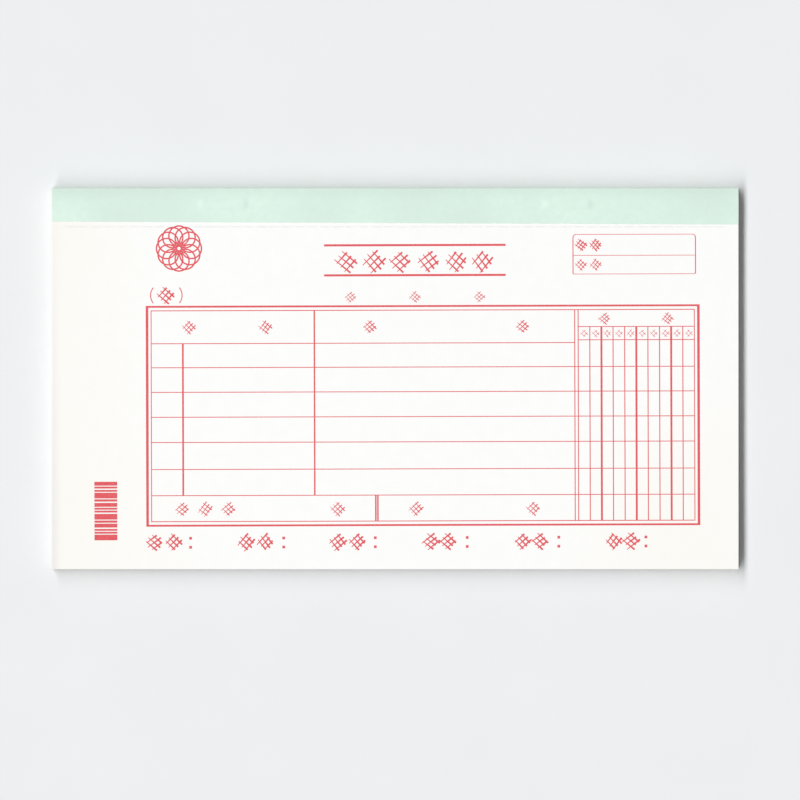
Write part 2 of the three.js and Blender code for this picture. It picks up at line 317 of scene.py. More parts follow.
# %% [markdown]
# ## The tape
#
# The head is bound with dyed paper, gummed on one side: mint green, a little mottled by the paste below,
# and greyer along the fold, which is painted shade; there the tape is also rubbed glossy where pads are
# knocked together. One picture could hold all that, but a noise for each cause keeps them apart: a fine one
# for the dye, a broad one for the paste and a third that breaks up the painted shade and the gloss at the
# fold. The grain is a bump of fine lines along the strip, left by the paper machine.

# %% Tape paper
MOTTLE = 2.2 * MM
PASTE_BLOTCH = 45 * MM
# Reach of the painted shade in from the fold, and the size of its patches
FOLD_SHADE_REACH, FOLD_PATCH = 5 * MM, 1.1 * MM
LAID_LINE, LAID_LENGTH = 0.5 * MM, 12 * MM


def tape_paper():
    """Gummed binding paper: matt, with a mottled dye, laid lines and a grey painted shade that grows
    towards the fold, where rubbing has also polished it."""
    material, tree, shader, place = new_material("dyed_binding_paper")
    mottle = add(tree, "TexNoise", {"Vector": place, "Scale": 1 / MOTTLE, "Detail": 4.0, "Roughness": 0.65})
    dyed = add(tree, "ValToRGB", {"Fac": mottle}, stops=((0.3, "#D9F1E3"), (0.72, "#E2F7EB")))
    broad = add(tree, "TexNoise", {"Vector": place, "Scale": 1 / PASTE_BLOTCH, "Detail": 2.0})
    blotch = add(tree, "MapRange", {"Value": broad, "From Min": 0.38, "From Max": 0.7})
    pasted = add(tree, "Mix", {"Factor": blotch, "A": dyed, "B": linear("#D6EADF")}, data_type="RGBA")
    down = add(tree, "SeparateXYZ", {"Vector": place}, output="Y")
    near_fold = add(tree, "MapRange", {
        "Value": down, "From Min": HEAD - FOLD_SHADE_REACH, "From Max": HEAD,
        "To Max": 0.55}, interpolation_type="SMOOTHSTEP")
    fold_patches = add(tree, "TexNoise", {"Vector": place, "Scale": 1 / FOLD_PATCH, "Detail": 3.0})
    shade_and_polish = add(tree, "Math", {0: near_fold, 1: fold_patches}, operation="MULTIPLY")
    laid = add(tree, "Mapping", {"Vector": place, "Scale": (1 / LAID_LENGTH, 1 / LAID_LINE, 1 / LAID_LINE)})
    lines = add(tree, "TexNoise", {"Vector": laid, "Scale": 1.0, "Detail": 3.0})
    # The grey mixed in towards the fold is painted shade.
    fold_shaded = add(tree, "Mix", {"Factor": shade_and_polish, "A": pasted, "B": linear("#C4D8CB")}, data_type="RGBA")
    feed(tree, shader, {
        "Base Color": fold_shaded,
        "Normal": add(tree, "Bump", {"Height": lines, "Distance": 0.02 * MM, "Strength": 0.6}),
        "Roughness": add(tree, "MapRange", {
            "Value": shade_and_polish, "From Max": 0.4, "To Min": 0.76, "To Max": 0.58}),
        "IOR": 1.53,
        "Specular IOR Level": 0.35})
    return material


TAPE = tape_paper()
print("tape nodes:", len(TAPE.node_tree.nodes))

# %% [markdown]
# ## Greyboard
#
# The back is greyboard, pulped waste paper: a dull, warm grey with darker and lighter specks of what it was
# made from. Specks could be scattered as cells, but pulp has no hard edges, so a noise with much fine
# detail runs through a ramp of three greys, and also lifts the surface.

# %% Greyboard
SPECK = 0.6 * MM
PULP_CLOUD = 6 * MM


def greyboard():
    """Recycled board: specks in a warm grey, half covered by clouds of pulp, and dullest in its pits."""
    material, tree, shader, place = new_material("recycled_greyboard")
    specks = add(tree, "TexNoise", {"Vector": place, "Scale": 1 / SPECK, "Detail": 4.0, "Roughness": 0.7})
    clouds = add(tree, "TexNoise", {"Vector": place, "Scale": 1 / PULP_CLOUD, "Detail": 3.0})
    pulp = add(tree, "ValToRGB", {"Fac": specks},
               stops=((0.32, "#6F6A62"), (0.5, "#9B958B"), (0.68, "#B7B1A6")))
    board = add(tree, "Mix", {"Factor": clouds, "A": pulp, "B": linear("#A39C90")}, data_type="RGBA")
    feed(tree, shader, {
        "Base Color": board,
        "Normal": add(tree, "Bump", {"Height": specks, "Distance": 0.04 * MM, "Strength": 0.8}),
        "Roughness": add(tree, "MapRange", {"Value": specks, "To Min": 1.0, "To Max": 0.86}),
        "Specular IOR Level": 0.2})
    return material


BOARD = greyboard()
print("board nodes:", len(BOARD.node_tree.nodes))

# %% [markdown]
# ## Zinc on wire
#
# The staples are drawn steel wire with a thin zinc coat, so the shader is fully metallic and its colour is
# that of the reflection. Drawing leaves fine lines along the wire, where the zinc is darker and duller. One
# noise, stretched along the wire, gives both the colour and the roughness.

# %% Zinc-coated wire
DRAW_LINE, DRAW_LENGTH = 0.05 * MM, 4 * MM


def zinc_wire():
    """Zinc-coated drawn steel: metallic, with draw lines along the wire that change colour and gloss."""
    material, tree, shader, place = new_material("zinc_coated_steel_wire")
    drawn = add(tree, "Mapping", {
        "Vector": place, "Scale": (1 / DRAW_LENGTH, 1 / DRAW_LINE, 1 / DRAW_LINE)})
    lines = add(tree, "TexNoise", {"Vector": drawn, "Scale": 1.0, "Detail": 2.0})
    feed(tree, shader, {
        "Base Color": add(tree, "ValToRGB", {"Fac": lines}, stops=((0.0, "#9EA2A6"), (1.0, "#D3D6D9"))),
        "Roughness": add(tree, "MapRange", {"Value": lines, "To Min": 0.25, "To Max": 0.5}),
        "Metallic": 1.0})
    return material


ZINC = zinc_wire()
print("wire nodes:", len(ZINC.node_tree.nodes))

# %% [markdown]
# ## Ink
#
# The form is printed with rose red offset ink. It sinks into bond, so it stays matt and a little uneven,
# paler where the fibres took less of it. The same function gives the print as it shows through from behind,
# as the same pattern in two hardly tinted whites.

# %% Offset ink
INK_SPECK = 0.4 * MM


def offset_ink(name, full_colour, thin_colour):
    """Offset ink on bond: its full colour, with thinner and paler specks that are as matt as the paper."""
    material, tree, shader, place = new_material(name)
    specks = add(tree, "TexNoise", {
        "Vector": place, "Scale": 1 / INK_SPECK, "Detail": 3.0, "Roughness": 0.7})
    film = add(tree, "ValToRGB", {"Fac": specks}, stops=((0.45, full_colour), (0.75, thin_colour)))
    feed(tree, shader, {
        "Base Color": film,
        "Roughness": add(tree, "MapRange", {
            "Value": specks, "From Min": 0.45, "From Max": 0.75, "To Min": 0.62, "To Max": 0.88}),
        "IOR": 1.5,
        "Specular IOR Level": 0.3})
    return material


INK = offset_ink("rose_offset_ink", "#E15159", "#E97F85")
SHOW_THROUGH = offset_ink("ink_showing_through_paper", "#F6E9E8", "#F9F3F1")
print("materials:", [material.name for material in bpy.data.materials])

# %% [markdown]
# ## Finishes for the solids that stay
#
# The stub, the tear strip, the board and the lower leaves already have the right shape, so nothing is
# built over them. They keep their own mesh and get a material.

# %% Materials on the solids
for name, solid in nodes.items():
    finish = BOARD if name == "backing_board" else PAPER
    solid.data.materials.clear()
    solid.data.materials.append(finish)
print("finished solids:", len(nodes))

# %% [markdown]
# ## Leaves that lift
#
# Leaves in a pad lie flat at the bound head and stand up a hair's breadth towards the foot, most of all at
# the corner where thumbs pick them up. A cloth simulation could bend them, but paper this stiff hardly
# drapes, so a smooth function of the place on the leaf is enough. Each leaf lifts less than the one above
# it, so none cuts through another, and the ink follows the same function.

# %% Shape of a lifted leaf
FOOT_LIFT, CORNER_LIFT = 0.10 * MM, 0.35 * MM
COCKLE, COCKLE_LENGTH, COCKLE_SLANT = 0.05 * MM, 85 * MM, 3
LIFT_SHARE = 0.62


def leaf_lift(number, x, y):
    """Height that leaf `number`, counted from the top, stands above its flat place. With s running from 0
    at the cut line to 1 at the foot and t from 0 at the left to 1 at the right: s squared times the foot
    lift, plus s and t cubed times the corner lift, plus s squared times a slow wave across the sheet. Each
    leaf further down lifts by a fixed share of the one above."""
    s = np.clip((CUT_LINE - y) / (CUT_LINE - FOOT), 0, 1)
    t = np.clip((x - PAD_LEFT) / (PAD_RIGHT - PAD_LEFT), 0, 1)
    wave = s ** 2 * (1 + np.sin(2 * np.pi * x / COCKLE_LENGTH + COCKLE_SLANT * s)) / 2
    lift = FOOT_LIFT * s ** 2 + CORNER_LIFT * s ** 3 * t ** 3 + COCKLE * wave
    return lift * LIFT_SHARE ** (number - 1)


print("top leaf's free corner stands up by", round(leaf_lift(1, PAD_RIGHT, FOOT) / MM, 3), "mm")

# %% [markdown]
# ## Cuts in a leaf
#
# A leaf's grid lines run along the edges of its cuts, so a cut is a block of cells that isn't kept: the
# slits of the perforation, and the slots that the staple crowns are pressed into. The top leaf ends at the
# perforation, so its slits are open notches, half in the voucher and half in its strip.

# %% Grid lines and cuts
GRID_STEP = 3 * MM
LINE_ROOM = 0.1 * MM
TIE_PITCH, TIE_WIDTH, CUT_WIDTH = 4.23 * MM, 1.0 * MM, 0.12 * MM
WIRE_ROOM = 0.1 * MM
STAPLES = ("staple_left", "staple_right")


def grid_lines(low, high, edges):
    """Grid lines from low to high: the edges of the cuts, and even steps of at most the grid step, but for
    the steps that would lie right beside an edge."""
    even = np.linspace(low, high, int(np.ceil((high - low) / GRID_STEP)) + 1)
    inner = edges[(edges > low) & (edges < high)]
    near = np.abs(even[:, None] - inner[None, :]).min(axis=1, initial=np.inf) < LINE_ROOM
    near[[0, -1]] = False
    return np.unique(np.concatenate([even[~near], inner]))


def perforation_cuts():
    """Slits between ties at an even pitch, centred on the pad: left, front, right and back of each."""
    ties = int((PAD_RIGHT - PAD_LEFT - TIE_PITCH) // TIE_PITCH)
    centres = (np.arange(ties) - (ties - 1) / 2) * TIE_PITCH
    left = centres[:-1] + TIE_WIDTH / 2
    right = centres[1:] - TIE_WIDTH / 2
    front = np.full(len(left), CUT_LINE - CUT_WIDTH / 2)
    return np.stack([left, front, right, front + CUT_WIDTH], axis=1)


def staple_slots():
    """Slot for each staple's crown in the upper leaves, wider than the wire by its room all round."""
    boxes = np.array([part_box(name) for name in STAPLES])
    return np.concatenate([boxes[:, 0, :2] - WIRE_ROOM, boxes[:, 1, :2] + WIRE_ROOM], axis=1)


print("slits in the perforation:", len(perforation_cuts()))

# %% [markdown]
# ## A leaf
#
# A fine leaf replaces a plain solid, so it keeps to the solid's outline and level. Its underside is drawn
# in by a few hundredths of a millimetre, because ink lies between two leaves and faces that share one place
# would flicker.

# %% One leaf
PRINT_GAP = 0.032 * MM
EDGE_GAP = 0.005 * MM


def face_level(node, outward):
    """Height of a leaf's face before it is lifted: the upper one where `outward` is 1, the lower at -1."""
    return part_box(node)[1].z - (0 if outward > 0 else LEAF_THICKNESS - PRINT_GAP)


def leaf_piece(number, node, cuts):
    """Leaf that stands for a node: its outline and level are the node's, lifted by `leaf_lift`. It stops a
    hair short of the node's back edge, so that it shares no face with the strip there."""
    low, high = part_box(node)
    xs = grid_lines(low.x, high.x, cuts[:, [0, 2]].ravel())
    ys = grid_lines(low.y, high.y - EDGE_GAP, cuts[:, [1, 3]].ravel())
    middle_x, middle_y = np.meshgrid((xs[:-1] + xs[1:]) / 2, (ys[:-1] + ys[1:]) / 2)
    kept = np.ones(middle_x.shape, bool)
    for left, front, right, back in cuts:
        kept &= ~((middle_x > left) & (middle_x < right) & (middle_y > front) & (middle_y < back))
    x, y = np.meshgrid(xs, ys)
    upper, lower = (np.stack([x, y, face_level(node, outward) + leaf_lift(number, x, y)], -1)
                    for outward in (1, -1))
    piece = closed_sheet(node + "_sheet", upper, lower, kept, PAPER)
    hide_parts(node)
    return piece


# %% [markdown]
# Six leaves are made fine: those that the staple crowns are pressed into, whose lift can also be seen. The
# second has its perforation cut too, since it lies bare when the first has gone.

# %% Top voucher and the leaves under it
LIFTED_LEAVES = 6
top_voucher = leaf_piece(1, "voucher_01", perforation_cuts())
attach(top_voucher, "voucher")
for number in range(2, LIFTED_LEAVES + 1):
    cuts = staple_slots()
    if number == 2:
        cuts = np.concatenate([cuts, perforation_cuts()])
    lower_leaf = leaf_piece(number, f"leaf_{number:02d}", cuts)
    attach(lower_leaf, "pad")

# %% [markdown]
# ## Relief of the tape
#
# The tape lies on the stub and is tented up over each staple crown by the wire under it. The gum has also
# drawn it into ripples, too faint to measure but enough to catch light. Both are functions of the place,
# added to the flat strip: a tent is a smooth bump with a flat top, and the ripples are a few long waves in
# seeded directions, which don't repeat along the pad as a texture would.

# %% Ripples and tents
RIPPLE, SHORTEST_WAVE, LONGEST_WAVE = 0.012 * MM, 5 * MM, 22 * MM
WAVES, WAVE_SEED = 9, 7
TENT_SLOPE = 2.2 * MM
tape_rng = np.random.default_rng(WAVE_SEED)
wave_turns = tape_rng.uniform(0, np.pi, WAVES)
wave_lengths = tape_rng.uniform(SHORTEST_WAVE, LONGEST_WAVE, WAVES)
wave_starts = tape_rng.uniform(0, 2 * np.pi, WAVES)


def ripples(x, y):
    """Sum of slow waves in seeded directions and lengths, scaled to run from 0 to 1."""
    total = np.zeros_like(x)
    for turn, length, start in zip(wave_turns, wave_lengths, wave_starts):
        total += np.sin(2 * np.pi * (x * np.cos(turn) + y * np.sin(turn)) / length + start)
    return 0.5 + total / (2 * WAVES)


def tent_share(distance, half_flat):
    """1 over the flat top, then half a cosine down to 0 over the slope's width."""
    return (1 + np.cos(np.pi * np.clip((distance - half_flat) / TENT_SLOPE, 0, 1))) / 2


def tents(x, y):
    """Rise over both staple crowns: the crown's height above the leaf and the wire's room, times the share
    along X, times the share across Y."""
    rise = np.zeros_like(x)
    for name in STAPLES:
        low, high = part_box(name)
        middle, half = (low + high) / 2, (high - low) / 2
        share = (tent_share(np.abs(x - middle.x), half.x + WIRE_ROOM)
                 * tent_share(np.abs(y - middle.y), half.y + WIRE_ROOM))
        rise = np.maximum(rise, (high.z + WIRE_ROOM - STACK_TOP) * share)
    return rise


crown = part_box(STAPLES[0])[1]
print("tape stands up over a crown by", round(tents(crown.x, crown.y) / MM, 3), "mm")

# %% [markdown]
# ## The tape round the head
#
# The tape runs from the front flap's edge over the top, down the spine and back under the board. Bending a
# flat strip with modifiers would leave its folds to chance, so its side view is written as a profile, a
# line in Y and Z with tight quarter circles at the folds, and is carried along X. The strip went on
# slightly askew, so its front edge runs a millimetre off square from end to end.

# %% Side view of the tape
TAPE_THICKNESS = 0.15 * MM
FOLD_RADIUS = 0.25 * MM
BACK_FLAP = 11.5 * MM
FRONT_POINTS, FOLD_POINTS, BACK_POINTS = 60, 13, 10


def tape_profile():
    """Inside of the tape from the front flap round both folds to the back flap: its Y, its Z, the
    direction in which thickness is added, and how far it follows the skewed front edge, from 1 there to 0
    at the fold."""
    upper_fold = np.linspace(np.pi / 2, 0, FOLD_POINTS)
    lower_fold = upper_fold - np.pi / 2
    front = np.linspace(FOLD_LINE, PAPER_HEAD, FRONT_POINTS)[:-1]
    back = np.linspace(PAPER_HEAD, HEAD - BACK_FLAP, BACK_POINTS)[1:]
    upper_z = STACK_TOP - FOLD_RADIUS
    lower_z = TAPE_THICKNESS + FOLD_RADIUS
    y = np.concatenate([front, PAPER_HEAD + FOLD_RADIUS * np.cos(upper_fold),
                        PAPER_HEAD + FOLD_RADIUS * np.cos(lower_fold), back])
    z = np.concatenate([np.full(len(front), STACK_TOP), upper_z + FOLD_RADIUS * np.sin(upper_fold),
                        lower_z + FOLD_RADIUS * np.sin(lower_fold), np.full(len(back), TAPE_THICKNESS)])
    turn = np.concatenate([np.full(len(front), np.pi / 2), upper_fold, lower_fold,
                           np.full(len(back), -np.pi / 2)])
    follow = np.clip((PAPER_HEAD - y) / (PAPER_HEAD - FOLD_LINE), 0, 1) * (z > upper_z)
    return y, z, turn, follow


print("tape width in mm:", round(np.hypot(*np.diff(tape_profile()[:2])).sum() / MM, 2))

# %% Tape surface
STATIONS = 420
FLAP_SKEW, RISE_FADE = 1.0 * MM, 1.0 * MM


def tape_piece():
    """Tape as a closed sheet: the profile is repeated at stations along X, its front flap is drawn back at
    the left by the skew, and tents and ripples raise it from the leaf below, fading out at the fold."""
    stations = np.linspace(PAD_LEFT, PAD_RIGHT, STATIONS)
    y, z, turn, follow = tape_profile()
    x = np.broadcast_to(stations[None, :], (len(y), STATIONS))
    skew = FLAP_SKEW * (PAD_RIGHT - stations) / (PAD_RIGHT - PAD_LEFT)
    inside_y = y[:, None] + follow[:, None] * skew[None, :]
    on_front = np.clip((PAPER_HEAD - inside_y) / RISE_FADE, 0, 1) * (z[:, None] > STACK_TOP - FOLD_RADIUS)
    rise = on_front * (tents(x, inside_y) + RIPPLE * ripples(x, inside_y))
    inside = np.stack([x, inside_y, z[:, None] + rise], -1)
    thickness = TAPE_THICKNESS * np.stack([np.zeros_like(turn), np.cos(turn), np.sin(turn)], -1)
    outside = inside + thickness[:, None, :]
    kept = np.ones((len(y) - 1, STATIONS - 1), bool)
    piece = closed_sheet("head_tape", outside, inside, kept, TAPE)
    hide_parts("binding_tape")
    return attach(piece, "pad")


tape_piece()

# %% [markdown]
# ## The staples
#
# The staples hide under the tape, but they show when the pad is taken apart. A staple is round wire carried
# along a flat path: crown, tight bend, leg, bend, and the leg's clinched end, cut to a chisel point. A
# bevelled curve would give the tube, but not the points, so the rings of the tube are worked out here.

# %% Path of a staple
WIRE, CLINCH = 0.5 * MM, 4.3 * MM
BEND_RADIUS, BEND_POINTS = 0.15 * MM, 9


def staple_path(low, high):
    """Centre line in X and Z, from the left leg's end to the right leg's: quarter circles at the bends and
    straight runs between them, mirrored about the middle of the crown."""
    bend = BEND_RADIUS + WIRE / 2
    left, middle = low.x + WIRE / 2, (low.x + high.x) / 2
    foot, crown = low.z + WIRE / 2, high.z - WIRE / 2
    quarter = np.linspace(0, np.pi / 2, BEND_POINTS)
    lower = [left + bend * (1 - np.sin(quarter)), foot + bend * (1 - np.cos(quarter))]
    upper = [left + bend * (1 - np.cos(quarter)), crown - bend * (1 - np.sin(quarter))]
    half = np.concatenate([[[left + CLINCH, foot]], np.stack(lower, 1), np.stack(upper, 1)])
    mirrored = half[::-1] * [-1, 1] + [2 * middle, 0]
    return np.concatenate([half, mirrored])


# %% Wire staples
WIRE_SIDES = 20


def directions(line):
    """Unit vectors along a line, one at each of its points."""
    along = np.gradient(line, axis=0)
    return along / np.linalg.norm(along, axis=1, keepdims=True)


def staple_piece(node):
    """Round wire swept along the path: at each point a ring of the wire's radius, in the plane of the
    path's normal and the Y axis, with the last ring at each end slanted to a chisel point."""
    low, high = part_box(node)
    path = staple_path(low, high)
    along = directions(path)
    turn = np.linspace(0, 2 * np.pi, WIRE_SIDES, endpoint=False)
    out = WIRE / 2 * np.cos(turn)
    into = np.zeros(len(path))
    into[[0, -1]] = 1, -1
    back = into[:, None] * (WIRE / 2 - out)[None, :]
    x = path[:, :1] - along[:, 1:] * out + along[:, :1] * back
    z = path[:, 1:] + along[:, :1] * out + along[:, 1:] * back
    y = np.broadcast_to((low.y + high.y) / 2 + WIRE / 2 * np.sin(turn), x.shape)
    number = np.arange(x.size).reshape(x.shape)
    turned = np.roll(number, -1, axis=1)
    tube = np.stack([number[:-1], number[1:], turned[1:], turned[:-1]], -1).reshape(-1, 4)
    ends = np.stack([number[0], number[-1][::-1]])
    piece = mesh_piece(node + "_wire", np.stack([x, y, z], -1).reshape(-1, 3), [tube, ends], ZINC)
    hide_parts(node)
    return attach(piece, "pad")


for node in STAPLES:
    staple_piece(node)

# %% [markdown]
# ## Ink as geometry
#
# The print could be a texture, but lines of 0.2 mm on a sheet of 230 mm need a very large one to stay
# crisp. Here each printed line is a thin slab of ink on the paper, sharp from any distance. A stroke is a
# list of points with a width at each, and a level that says which of two crossing strokes lies on top.
# Sheets are never fed quite square into a press, so each stroke is turned by a fraction of a degree.

# %% Strokes
STROKE_STEP = 3 * MM
UPRIGHT_LEVEL = 3
PRINT_TURN = np.radians(0.17)
cosine, sine = np.cos(PRINT_TURN), np.sin(PRINT_TURN)


def stroke(x, y, width, level):
    """Stroke through points in mm, with one width or with one for each point, on a level. It is turned
    anticlockwise about the middle of the pad by the print's small error."""
    points = np.stack([x, y], 1) * MM @ [[cosine, sine], [-sine, cosine]]
    return points, np.broadcast_to(width, x.shape) * MM, level


def straight(x0, y0, x1, y1, width):
    """Stroke from one point to another in mm, in steps short enough to follow the paper, of even width.
    Upright strokes get a higher level than level ones, since the two kinds cross."""
    count = int(np.ceil(np.hypot(x1 - x0, y1 - y0) * MM / STROKE_STEP)) + 1
    share = np.linspace(0, 1, max(count, 2))
    level = UPRIGHT_LEVEL if abs(y1 - y0) > abs(x1 - x0) else 0
    return stroke(x0 + (x1 - x0) * share, y0 + (y1 - y0) * share, width, level)


print("points on a stroke of 100 mm:", len(straight(0, 0, 100, 0, 1)[0]))

# %% Slabs of ink
INK_RISE, INK_STEP, INK_SINK = 0.005 * MM, 0.001 * MM, 0.004 * MM


def ink_piece(name, strokes, number, node, outward, material):
    """Slabs of ink along strokes on a leaf's upper face, or on its lower one where `outward` is -1. Each
    stroke's edges lie half its width to either side of its line, and its slab reaches from a little inside
    the paper to a little outside it. Slabs that cross at one height would flicker, so each stroke has a
    level, and rises by that many hair-thin steps more."""
    paper = face_level(node, outward)
    points, quads, first = [], [], 0
    for line, width, level in strokes:
        rise = INK_RISE + INK_STEP * level
        along = directions(line)
        side = np.stack([-along[:, 1], along[:, 0]], 1) * width[:, None] / 2
        edges = np.stack([line + side, line - side, line - side, line + side])
        reach = outward * np.array([rise, rise, -INK_SINK, -INK_SINK])
        height = paper + leaf_lift(number, edges[..., 0], edges[..., 1]) + reach[:, None]
        points.append(np.concatenate([edges, height[..., None]], -1).reshape(-1, 3))
        corner = first + np.arange(4 * len(line)).reshape(4, len(line))
        turned = np.roll(corner, -1, axis=0)
        tube = np.stack([corner[:, :-1], turned[:, :-1], turned[:, 1:], corner[:, 1:]], -1).reshape(-1, 4)
        ends = np.stack([corner[::-1, 0], corner[:, -1]])
        slab = np.concatenate([tube, ends])
        quads.append(slab if outward > 0 else slab[:, ::-1])
        first += 4 * len(line)
    return mesh_piece(name, np.concatenate(points), [np.concatenate(quads)], material)


# %% [markdown]
# ## The ruled form
#
# The form is a table in a thick and thin border: a header row, six rows for entries and a footer row, with
# a block of ten narrow columns for the digits of an amount. Above it are two title rules and a number box.
# All places are real millimetres from the middle of the pad. Each kind of line has its width, and where the
# press has slurred the ink sideways, upright lines came out wider than level ones.

# %% Places and widths of the ruled lines
TABLE_LEFT, TABLE_RIGHT = -82.6, 101.0
TABLE_TOP, TABLE_FOOT = 24.1, -48.8
BORDER_STEP = 1.35
ROW_LINES = (11.8, 3.8, -4.4, -12.7, -21.1, -30.1, -38.8)
CODE_LINE, ACCOUNT_LINE = -70.7, -26.9
FOOTER_LINES = (-6.6, -5.9)
AMOUNT_LEFT, AMOUNT_STEP = 60.95, 1.15
AMOUNT_HEADER, DIGIT_HEADER = 17.1, 12.7
AMOUNT_COLUMNS, DIGIT_GROUP = 10, 3
TITLE_LEFT, TITLE_RIGHT, TITLE_RULES = -23.6, 36.9, (44.4, 34.4)
BOX_LEFT, BOX_RIGHT, BOX_TOP, BOX_MIDDLE, BOX_FOOT = 59.3, 100.1, 47.8, 40.8, 34.6
TOP_RADIUS, FOOT_RADIUS = 1.1, 0.4
HAIR, THIN, FINE, MEDIUM, HEAVY = 0.2, 0.28, 0.5, 0.58, 0.72
COLUMN_THIN, COLUMN_HEAVY = 0.33, 0.66
BORDER_SIDE, BORDER_LEVEL, BORDER_THIN = 0.86, 0.64, 0.3
inner_left, inner_right = TABLE_LEFT + BORDER_STEP, TABLE_RIGHT - BORDER_STEP
inner_top, inner_foot = TABLE_TOP - BORDER_STEP, TABLE_FOOT + BORDER_STEP
amount_lines = np.linspace(AMOUNT_LEFT, inner_right, AMOUNT_COLUMNS + 1)
print("amount columns:", AMOUNT_COLUMNS, "pitch in mm:", round(amount_lines[1] - amount_lines[0], 2))

# %% Table


def frame_strokes(left, foot, right, top, level_width, side_width):
    """Two level and two upright strokes round a rectangle, which reach past its corners by half the width
    of those that they meet."""
    past_side, past_level = side_width / 2, level_width / 2
    return [straight(left - past_side, top, right + past_side, top, level_width),
            straight(left - past_side, foot, right + past_side, foot, level_width),
            straight(left, foot - past_level, left, top + past_level, side_width),
            straight(right, foot - past_level, right, top + past_level, side_width)]


def table_strokes():
    """Border, row lines, column lines and the two lines of the amount header. The amount block is parted
    from the rest by a double line, and every third of its columns ends in a heavier one."""
    header_line, footer_line = ROW_LINES[0], ROW_LINES[-1]
    block_left = AMOUNT_LEFT - AMOUNT_STEP
    strokes = frame_strokes(TABLE_LEFT, TABLE_FOOT, TABLE_RIGHT, TABLE_TOP, BORDER_LEVEL, BORDER_SIDE)
    strokes += frame_strokes(inner_left, inner_foot, inner_right, inner_top, BORDER_THIN, BORDER_THIN)
    strokes += [straight(inner_left, y, inner_right, y, THIN) for y in ROW_LINES[1:]]
    strokes.append(straight(inner_left, header_line, block_left, header_line, THIN))
    strokes.append(straight(CODE_LINE, header_line, CODE_LINE, footer_line, MEDIUM))
    strokes.append(straight(ACCOUNT_LINE, inner_top, ACCOUNT_LINE, footer_line, FINE))
    strokes += [straight(x, inner_foot, x, inner_top, COLUMN_THIN) for x in (block_left, AMOUNT_LEFT)]
    strokes += [straight(x, inner_foot, x, footer_line, FINE) for x in FOOTER_LINES]
    strokes += [straight(AMOUNT_LEFT, y, inner_right, y, THIN) for y in (AMOUNT_HEADER, DIGIT_HEADER)]
    for place, x in enumerate(amount_lines[1:-1], start=1):
        width = COLUMN_HEAVY if place % DIGIT_GROUP == DIGIT_GROUP - 1 else COLUMN_THIN
        strokes.append(straight(x, inner_foot, x, AMOUNT_HEADER, width))
    return strokes


print("strokes in the table:", len(table_strokes()))

# %% Title rules and number box
BOX_CORNER_POINTS, BOX_LEVEL, BOX_SIDE = 8, 1, 0.33


def heading_strokes():
    """Two rules that the title stands between, and a number box of two lines: quarter circles at its
    corners, joined by straight runs, which are divided so that they follow the paper. The outline is
    widest where it runs upright."""
    corners = [[BOX_RIGHT, BOX_TOP], [BOX_LEFT, BOX_TOP], [BOX_LEFT, BOX_FOOT], [BOX_RIGHT, BOX_FOOT]]
    radius = np.array([TOP_RADIUS, TOP_RADIUS, FOOT_RADIUS, FOOT_RADIUS])[:, None]
    middle = corners + radius * [[-1, -1], [1, -1], [1, 1], [-1, 1]]
    turn = np.linspace(0, 2 * np.pi, 4 * BOX_CORNER_POINTS, endpoint=False).reshape(4, -1, 1)
    arcs = middle[:, None] + radius[:, None] * np.concatenate([np.cos(turn), np.sin(turn)], -1)
    ring = np.concatenate([*arcs, arcs[0, :1]])
    runs = []
    for start, end in zip(ring[:-1], ring[1:]):
        count = max(int(np.hypot(*(end - start)) * MM / STROKE_STEP), 1)
        runs.append(start + (end - start) * np.arange(count)[:, None] / count)
    outline = np.concatenate([*runs, ring[-1:]])
    width = HAIR + (BOX_SIDE - HAIR) * np.abs(directions(outline)[:, 1])
    rules = [straight(TITLE_LEFT, y, TITLE_RIGHT, y, HEAVY) for y in TITLE_RULES]
    return rules + [stroke(*outline.T, width, BOX_LEVEL),
                    straight(BOX_LEFT, BOX_MIDDLE, BOX_RIGHT, BOX_MIDDLE, HAIR)]


print("strokes above the table:", len(heading_strokes()))

# %% [markdown]
# ## Marks for the headings
#
# A form's headings are small and many. Here each is a patch of cross-hatching, two families of tapering
# strokes that lean against each other, with the size, weight and spacing of printing and no meaning. One
# rule draws them from a seeded generator, so no two are alike and every run gives the same ones.

# %% Hatch marks
HATCH_LEAN, HATCH_SPREAD = 45, 9
HATCH_SPACING, HATCH_SHORTEST, HATCH_TAPER, HATCH_POINTS = 0.78, 0.7, 0.6, 5
LARGE_HATCH = 3


def hatch(x, y, size, weight, seed):
    """Patch of cross-hatching in a square that stands on its corner: one family of strokes leans about 45
    degrees one way and one the other way, each of two strokes in a small patch and three in a large one.
    Lean and lengths are random but seeded, and each width falls from the weight to under half of it."""
    rng = np.random.default_rng(seed)
    count = 3 if size > LARGE_HATCH else 2
    strokes = []
    for lean, level in ((HATCH_LEAN, 0), (-HATCH_LEAN, UPRIGHT_LEVEL)):
        turn = np.radians(lean + rng.uniform(-HATCH_SPREAD, HATCH_SPREAD))
        for spot in (np.arange(count) - (count - 1) / 2) * size * HATCH_SPACING / count:
            length = size * rng.uniform(HATCH_SHORTEST, 1.0)
            middle = np.array([x - spot * np.sin(turn), y + spot * np.cos(turn)])
            reach = np.array([np.cos(turn), np.sin(turn)]) * length / 2
            share = np.linspace(0, 1, HATCH_POINTS)
            line = middle + reach * (1 - 2 * share[:, None])
            strokes.append(stroke(*line.T, weight * (1 - HATCH_TAPER * share), level))
    return strokes


print("strokes in a large hatch:", len(hatch(0, 0, 6, 0.6, seed=0)))

